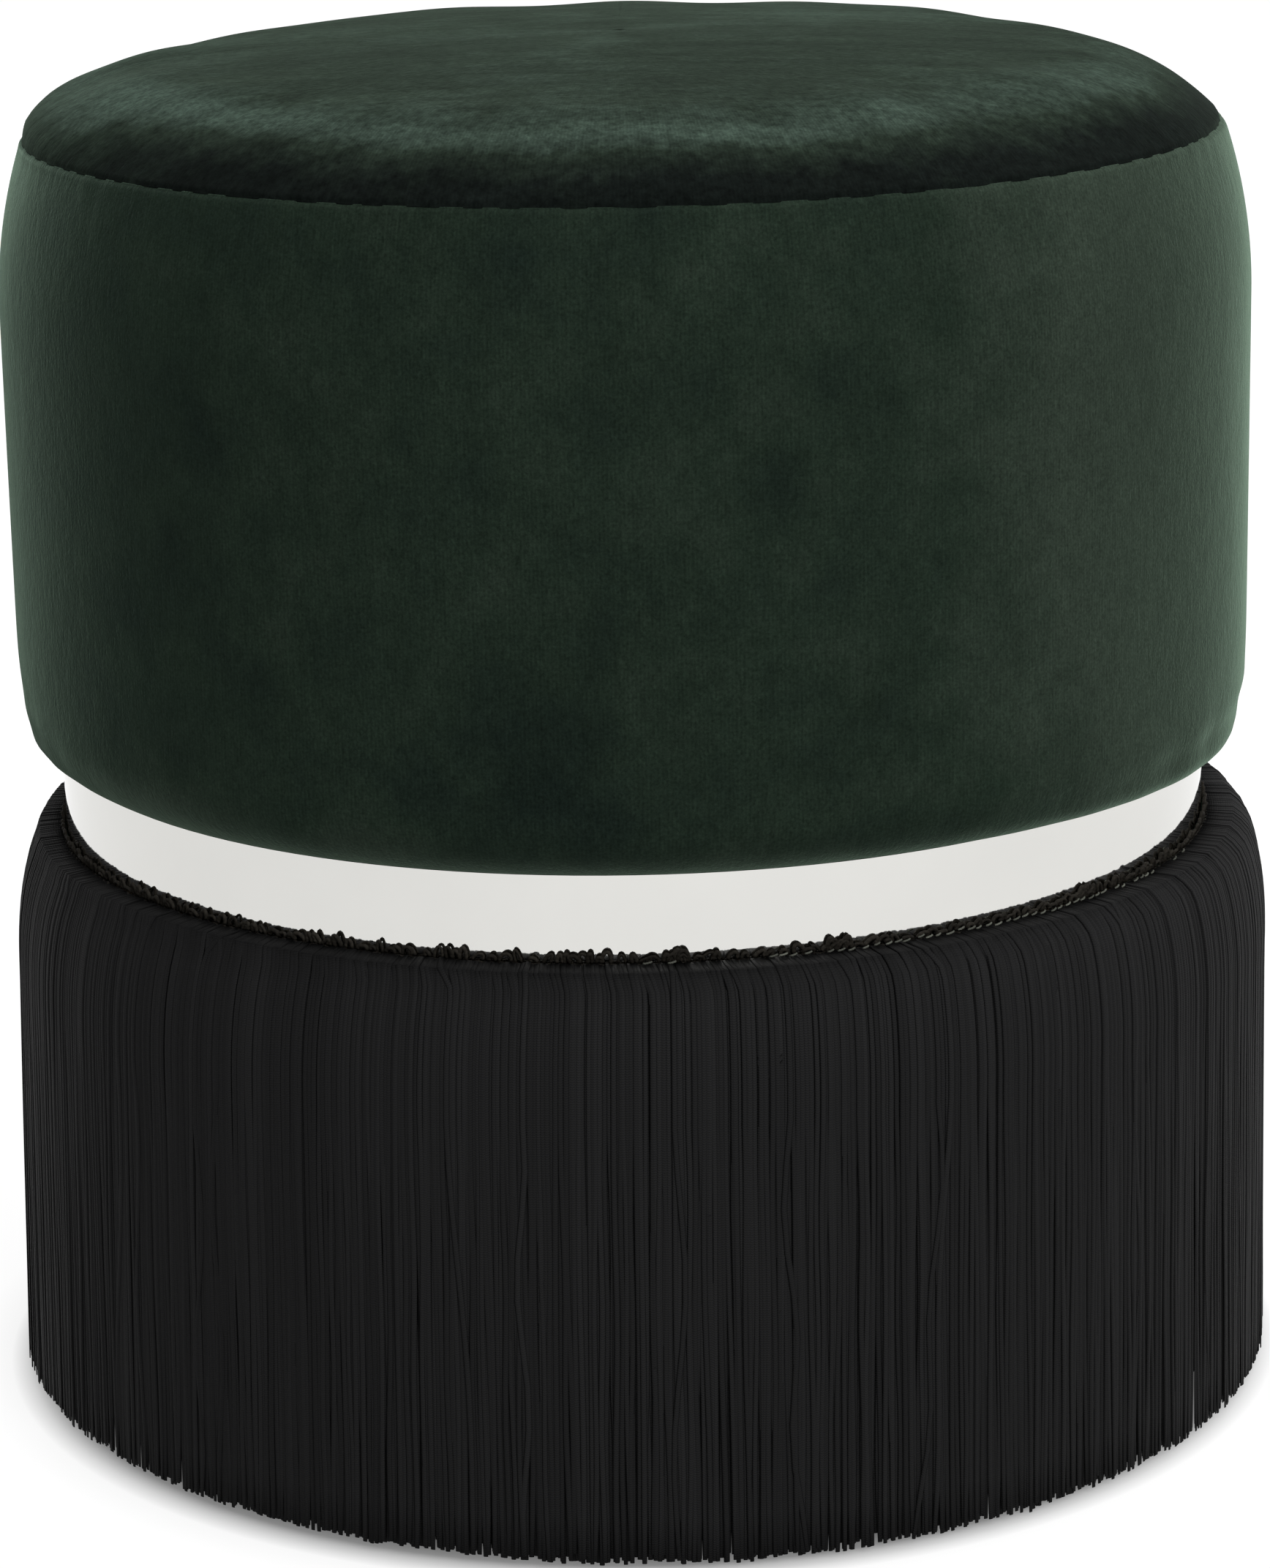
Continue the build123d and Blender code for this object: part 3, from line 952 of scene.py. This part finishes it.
# Dust cover: a round of lining cloth, turned in at the edge and stapled under the base

dust_columns = 240
dust_hem = 12 * MM
dust_level = dust_low[2]
dust_thickness = 0.6 * MM
dust_steps = 48
dust_sag = 1.3 * MM
dust_sag_radius = 100 * MM
dust_pull = 0.18 * MM
dust_pull_reach = 14 * MM
# The doubled edge: how much thicker it is, and how fast it gets so
doubled_height = 0.4 * MM
doubled_reach = 0.6 * MM
staple_count = 36
staple_width = 10 * MM
staple_leg = 1.6 * MM
staple_wire_radius = 0.35 * MM


def dust_swell(angle, run, outline):
    """A slight sag within the glides, a doubled edge and small pulls towards the staples."""
    generator = np.random.default_rng(37)
    inside = np.clip(1 - (run / dust_sag_radius) ** 2, 0, 1)
    hem_start = dust_radius - dust_hem
    doubled = doubled_height * step(run, hem_start, hem_start + doubled_reach)
    to_edge = dust_radius - run
    pulls = dust_pull * waves(angle, (29, 36, 44, 52), generator) * np.exp(-to_edge / dust_pull_reach)
    return dust_sag * inside**2 + doubled + pulls


def staples_round(name, count, radius, height, width):
    """Wire staples round an edge, each a little askew, with their ends bent up into the board."""
    generator = np.random.default_rng(53)
    angles = TAU * (np.arange(count) + generator.uniform(-0.2, 0.2, count)) / count
    skew = generator.normal(0, 0.12, count)[:, None]
    along = width * np.array([-0.5, -0.5, -0.42, -0.2, 0, 0.2, 0.42, 0.5, 0.5])
    rise = staple_leg * np.array([1, 0.25, 0, 0, 0, 0, 0, 0.25, 1]) * np.ones((count, 1))
    turned = angles[:, None] + along / radius
    paths = polar(turned, radius + along * skew, height + rise)
    sideways = outward(turned)
    radii = np.full(turned.shape, staple_wire_radius)
    tones = generator.uniform(0, 1, count)
    return tubes(name, paths, sideways, radii, 6, zinc_steel, tones, "wire")


dust_outline = line((axis_clearance, dust_level), (dust_radius, dust_level), dust_steps)
dust_cover = turned_shell(
    "dust_cover_cloth", dust_outline, dust_thickness, dust_columns,
    lining_cloth, dust_swell, even_nap,
)
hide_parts("dust_cover")
staple_radius = dust_radius - dust_hem / 2
staple_level = dust_level - dust_thickness
dust_staples = staples_round("dust_cover_staples", staple_count, staple_radius, staple_level, staple_width)


# Fringe: a braided heading with thread loops, and layers of knitted cords

cord_radius = 0.82 * MM
cord_flatness = 0.31
cord_sides = 6
shoulder_steps = 14
drop_steps = 10
cord_layers = (
    # cords, distance of their middle inside the outermost ones, share of the flare at the hem, looseness
    (900, 1.1 * MM, 0.85, 0.15),
    (950, 0.62 * MM, 0.97, 0.8),
    (920, 0.4 * MM, 1.0, 0.8),
    (40, 0.1 * MM, 1.0, 3.5),
)
# The outermost cords bend over the shoulder in a quarter of a squarish ellipse
bend_power = 2.1
bend_start = heading_radius + 1.3 * MM
bend_reach = 12.6 * MM
bend_drop = 40.8 * MM
bend_level = heading_top - 42.0 * MM
bend_top = math.radians(81)
bend_spacing = 1.3
# Where the cords start, inside and under the outer top edge of the heading
cord_start_inset = 1.8 * MM
cord_start_drop = 2.5 * MM
hem_clearance = 2.3 * MM
# How unevenly the cords lie, are cut and hang
depth_spread = 0.08 * MM
cut_wave = 0.7 * MM
cut_spread = 1.1
flare_spread = 0.25 * MM
sway_wave = 0.9 * MM
sway_spread = 0.5 * MM
slant_wave = 0.8 * MM
slant_spread = 0.3 * MM
wiggle_size = 0.35 * MM
clump_width = (5, 22)
clump_pull_limit = 0.12
# The share of a cord's sideways travel that it makes on the shoulder
shoulder_travel = 0.35
# The fringe sits a little to the right of the drum
shoulder_shift = 2.6 * MM
hem_shift = 0.8 * MM
# Where the cut ends hang higher than elsewhere: degrees from the front, half width and how much
raised_hem = ((-48, 34, 1.9 * MM), (150, 30, 1.5 * MM))

# Where the heading sits lower on the base: degrees from the front, half width and how much
heading_dips = ((76, 24, 1.3 * MM), (100, 14, 1.2 * MM), (-82, 20, 0.8 * MM))


def heading_dip(angle):
    """How far the heading is below its usual level."""
    return patched_round(angle, heading_dips)


def clump_pull(angles, generator):
    """How far each cord leans towards the middle of the clump that it hangs in, as an angle."""
    edges = [0.0]
    while edges[-1] < TAU:
        edges.append(edges[-1] + generator.uniform(*clump_width) * MM / hem_radius)
    edges = np.asarray(edges)
    index = np.clip(np.searchsorted(edges, angles, side="right") - 1, 0, len(edges) - 2)
    middle = (edges[index] + edges[index + 1]) / 2
    pull = generator.uniform(0.0, clump_pull_limit, len(edges))
    return (middle - angles) * pull[index]


def cord_layer(count, depth, flare_share, looseness, generator):
    """Paths of one layer of cords: over the shoulder, then down to cut ends of uneven length."""
    angles = TAU * (np.arange(count) + looseness * generator.uniform(-0.4, 0.4, count)) / count % TAU
    depth = depth + generator.normal(0, depth_spread, count)
    reach = bend_reach - depth
    drop = bend_drop - depth
    share = np.linspace(1, 0, shoulder_steps)
    turn = bend_top * share**bend_spacing
    shoulder_r = bend_start + reach[:, None] * np.cos(turn) ** (2 / bend_power)
    shoulder_z = bend_level + drop[:, None] * np.sin(turn) ** (2 / bend_power)
    shoulder_r[:, 0] = heading_radius - cord_start_inset
    shoulder_z[:, 0] = heading_top - cord_start_drop - depth
    shoulder_z = shoulder_z - heading_dip(angles)[:, None] * share
    down = np.linspace(0, 1, drop_steps + 1)[1:]
    cut = cut_wave * (1 + waves(angles, (7, 13, 22, 37), generator))
    hem = hem_clearance + np.maximum(cut, 0) + np.abs(generator.normal(0, cut_spread, count)) * MM
    hem = hem + patched_round(angles, raised_hem)
    flare = (hem_radius - cord_radius - bend_start - bend_reach) * flare_share
    flare = flare + generator.normal(0, flare_spread, count)
    drop_z = bend_level + (hem - bend_level)[:, None] * down
    drop_r = bend_start + reach[:, None] + flare[:, None] * down
    radius = np.concatenate([shoulder_r, drop_r], axis=1)
    height = np.concatenate([shoulder_z, drop_z], axis=1)
    fall = np.concatenate([np.zeros(shoulder_steps), down])
    early = np.concatenate([np.minimum(4 * (1 - share), 1), np.ones(drop_steps)])
    travel = np.concatenate([shoulder_travel * (1 - share), shoulder_travel + (1 - shoulder_travel) * down])
    lean = clump_pull(angles, generator)[:, None] * fall ** 0.8
    sway = sway_wave * waves(angles, (19, 37, 58, 93, 131), generator)
    sway = sway + generator.normal(0, sway_spread, count)
    sway = sway[:, None] * fall ** 1.5
    slant = slant_wave * waves(angles, (43, 61, 87, 112, 150), generator)
    slant = slant + generator.normal(0, slant_spread, count)
    slant = slant[:, None] * early
    phase = generator.uniform(0, TAU, count)[:, None]
    wavelength = generator.uniform(0.5, 2.0, count)[:, None]
    wiggle = wiggle_size * np.sin(phase + TAU * wavelength * fall) * early
    turned = angles[:, None] + looseness * (lean + (sway + slant + wiggle) / hem_radius)
    paths = polar(turned, radius, height)
    shift = shoulder_shift + (hem_shift - shoulder_shift) * travel**0.6
    paths[..., 0] += early * shift
    sideways = outward(turned + TAU / 4)
    return paths, sideways


def fringe_cords():
    """Every cord of the fringe in one piece."""
    generator = np.random.default_rng(5)
    layers = [cord_layer(*layer, generator) for layer in cord_layers]
    paths = np.concatenate([layer[0] for layer in layers])
    sideways = np.concatenate([layer[1] for layer in layers])
    count, steps, _ = paths.shape
    radii = cord_radius * generator.uniform(0.88, 1.1, count)[:, None] * np.ones((1, steps))
    radii[:, -1] *= 0.75
    tones = generator.uniform(0, 1, count)
    return tubes(
        "fringe_cords", paths, sideways, radii, cord_sides,
        cord_yarn, tones, "cord", cord_flatness,
    )


cords = fringe_cords()
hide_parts("fringe_skirt")


def heading_braid():
    """Three braided yarns round the pouf, over the top ends of the cords."""
    strands = 3
    crossings = 220
    steps = crossings * 9
    yarn_radius = 0.45 * MM
    weave = 0.4 * MM
    middle_r = heading_radius - 1.9 * MM
    middle_z = heading_top - 3.5 * MM
    angle = TAU * np.arange(steps + 1) / steps
    paths = []
    for strand in range(strands):
        phase = TAU * strand / strands + crossings / 2 * angle
        radius = middle_r + weave * np.sin(2 * phase)
        height = middle_z - heading_dip(angle) + weave * np.cos(phase)
        paths.append(polar(angle, radius, height))
    paths = np.asarray(paths)
    sideways = np.repeat(upward(angle)[None], strands, axis=0)
    radii = np.full(paths.shape[:2], yarn_radius)
    tones = np.linspace(0.2, 0.8, strands)
    return tubes(
        "fringe_heading_braid", paths, sideways, radii, 6, heading_yarn, tones, "cord"
    )


braid = heading_braid()
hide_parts("fringe_heading")


# Where the loops of the heading bunch up into knots, in degrees from the front
heading_knots = (3.4, 17.9, 47.0, 128.0, -96.0, -171.0)
loops_in_knot = 7
knot_spread = 1.4
knot_rise = 1.0 * MM
# The loops' spacing in millimetres, and their place inside and under the outer top edge of the heading
loop_spacing = (1.5, 4.4)
loop_inset = 2.5 * MM
loop_drop = 2.4 * MM
# Where the loops lie flat: degrees from the front, half width and how flat they are
flat_loops = ((30, 18, 0.4), (150, 25, 0.5), (-118, 20, 0.5))


def heading_loops():
    """Uneven loops of thread that stand up along the heading."""
    generator = np.random.default_rng(17)
    steps = 11
    places = []
    place = 0.0
    while place < TAU:
        places.append(place)
        place += generator.uniform(*loop_spacing) * MM / heading_radius
    for knot in heading_knots:
        bunched = generator.normal(0, knot_spread, loops_in_knot) * MM / heading_radius
        places.extend(math.radians(knot + 180) + bunched)
    angles = np.asarray(places)
    count = len(angles)
    width = generator.uniform(0.6, 1.6, count) * MM
    rise = (0.8 + 2.1 * generator.uniform(0, 1, count) ** 1.1) * MM
    rise = rise * (1 - patched_round(angles, flat_loops))
    rise[-loops_in_knot * len(heading_knots):] += knot_rise
    tilt = generator.normal(0, 0.6, count) * MM
    out = generator.uniform(0.0, 0.7, count) * MM
    overlap = 0.12
    swing = np.linspace(-overlap, math.pi + overlap, steps)
    along = width[:, None] * np.cos(swing) + tilt[:, None] * np.sin(swing)
    radius = heading_radius - loop_inset + out[:, None] * np.sin(swing)
    turned = angles[:, None] + along / heading_radius
    height = heading_top - loop_drop - heading_dip(turned) + rise[:, None] * np.sin(swing)
    paths = polar(turned, radius, height)
    sideways = outward(turned)
    radii = generator.uniform(0.40, 0.62, count)[:, None] * MM * np.ones((1, steps))
    tones = generator.uniform(0, 1, count)
    return tubes(
        "fringe_heading_loops", paths, sideways, radii, 5, heading_yarn, tones, "cord"
    )


heading_loops()


# Where the heading's stitches lie open to view: degrees from the front, half width and how fully they do
open_stitches = ((34, 26, 1), (152, 22, 1), (-118, 18, 1))
stitch_inset = 0.4 * MM
stitch_drop = 2.0 * MM
stitch_radius = 0.28 * MM


def heading_stitches():
    """The pale stitches that hold the cords to the heading, where they show."""
    generator = np.random.default_rng(29)
    count = 330
    steps = 6
    angles = TAU * (np.arange(count) + generator.uniform(-0.25, 0.25, count)) / count
    shown = patched_round(angles, open_stitches) > generator.uniform(0.15, 0.75, count)
    angles = angles[shown]
    count = len(angles)
    length = generator.uniform(0.6, 1.2, count) * MM
    share = np.linspace(-1, 1, steps)
    along = length[:, None] * share
    lift = generator.normal(0, 0.25, count)[:, None] * MM
    height = heading_top - stitch_drop + lift + 0.25 * MM * share
    radius = heading_radius - stitch_inset + 0.3 * MM * (1 - share ** 2) * np.ones((count, 1))
    turned = angles[:, None] + along / heading_radius
    paths = polar(turned, radius, height - heading_dip(turned))
    sideways = upward(turned)
    radii = np.full((count, steps), stitch_radius)
    tones = generator.uniform(0, 1, count)
    return tubes(
        "fringe_heading_stitches", paths, sideways, radii, 5, stitch_thread, tones, "cord"
    )


heading_stitches()


# Stage: floor, light and camera

floor_bounce = (0.38, 0.38, 0.38)
floor_tone = (0.16, 0.16, 0.16)
# How light the floor looks at distances from the middle of the pouf, with a painted shadow under it and
# round its hem
floor_glow_and_painted_shadow = (
    (0.140, 0.02),
    (hem_radius - 9 * MM, 0.12),
    (hem_radius + 1 * MM, 0.82),
    (hem_radius + 12 * MM, 0.90),
    (2.4, 1.00),
)
floor_fade = 3.0
world_light = 0.07


def seen_directly(tree):
    """1 for what the camera, a gloss or a clear material sees, 0 for light that only falls on things."""
    path = tree.nodes.new("ShaderNodeLightPath")
    seen = math_node(tree, "MAXIMUM", path.outputs["Is Camera Ray"], path.outputs["Is Glossy Ray"])
    return math_node(tree, "MAXIMUM", seen, path.outputs["Is Transmission Ray"])


def floor_material():
    """A pale floor, with a painted shadow under and round the pouf."""
    material, tree, shader = new_material("floor")
    shader.inputs["Roughness"].default_value = 0.9
    shader.inputs["Specular IOR Level"].default_value = 0.0
    seen = seen_directly(tree)
    tone = ramp(tree, seen, [(0.0, floor_bounce), (1.0, floor_tone)])
    tree.links.new(tone, shader.inputs["Base Color"])
    place = object_vector(tree)
    away = tree.nodes.new("ShaderNodeVectorMath")
    away.operation = "LENGTH"
    tree.links.new(place, away.inputs[0])
    far = math_node(tree, "DIVIDE", away.outputs["Value"], floor_fade)
    stops = [(distance / floor_fade, (tone, tone, tone)) for distance, tone in floor_glow_and_painted_shadow]
    # Painted shadow: the glow is dark under the pouf and round its hem
    glow_and_painted_shadow = ramp(tree, far, stops)
    tree.links.new(glow_and_painted_shadow, shader.inputs["Emission Color"])
    tree.links.new(seen, shader.inputs["Emission Strength"])
    return material


def add_floor():
    """A wide floor at the level that the pouf stands on."""
    half = 12.0
    corners = [(-half, -half, 0), (half, -half, 0), (half, half, 0), (-half, half, 0)]
    mesh = bpy.data.meshes.new("floor")
    mesh.from_pydata(corners, [], [(0, 1, 2, 3)])
    mesh.materials.append(floor_material())
    floor = placed("floor", mesh)


def add_area_light(name, place, target, size, power):
    """A soft square light that points at a target."""
    light = bpy.data.lights.new(name, "AREA")
    light.shape = "RECTANGLE"
    light.size, light.size_y = size
    light.energy = power
    lamp = placed(name, light)
    lamp.location = place
    direction = Vector(target) - Vector(place)
    lamp.rotation_euler = direction.to_track_quat("-Z", "Y").to_euler()


def add_world():
    """Even studio light from all sides, white behind the pouf."""
    world = bpy.data.worlds.new("studio")
    bpy.context.scene.world = world
    world.use_nodes = True
    tree = world.node_tree
    background = tree.nodes["Background"]
    background.inputs["Color"].default_value = (1, 1, 1, 1)
    seen = seen_directly(tree)
    strength = math_node(tree, "MULTIPLY_ADD", seen, 1 - world_light, world_light)
    tree.links.new(strength, background.inputs["Strength"])


def add_camera():
    """The photograph's camera."""
    camera_data = bpy.data.cameras.new("camera")
    camera_data.sensor_width = sensor_size
    camera_data.lens = camera_focal_pixels / photo_height * sensor_size
    camera_data.clip_end = 50
    camera = placed("camera", camera_data)
    camera.location = (0, -camera_distance, camera_height)
    camera.rotation_mode = "XYZ"
    tilt = math.radians(90 - camera_pitch)
    turn = Matrix.Rotation(math.radians(camera_yaw), 3, "Z") @ Matrix.Rotation(tilt, 3, "X")
    turn = turn @ Matrix.Rotation(math.radians(camera_roll), 3, "Z")
    camera.rotation_euler = turn.to_euler("XYZ")
    bpy.context.scene.camera = camera


add_floor()
middle = (0, 0, 0.22)
add_area_light("key", (1.5, 0.25, 1.05), middle, (0.9, 1.4), 9)
add_area_light("fill", (-1.5, -0.2, 0.95), middle, (0.9, 1.4), 0.5)
add_area_light("overhead", (0.2, 0.4, 1.9), middle, (1.4, 1.4), 26)
add_area_light("front", (0.56, -2.18, 1.5), middle, (1.6, 1.2), 66)
add_world()
add_camera()
bpy.context.scene.view_settings.view_transform = "Standard"
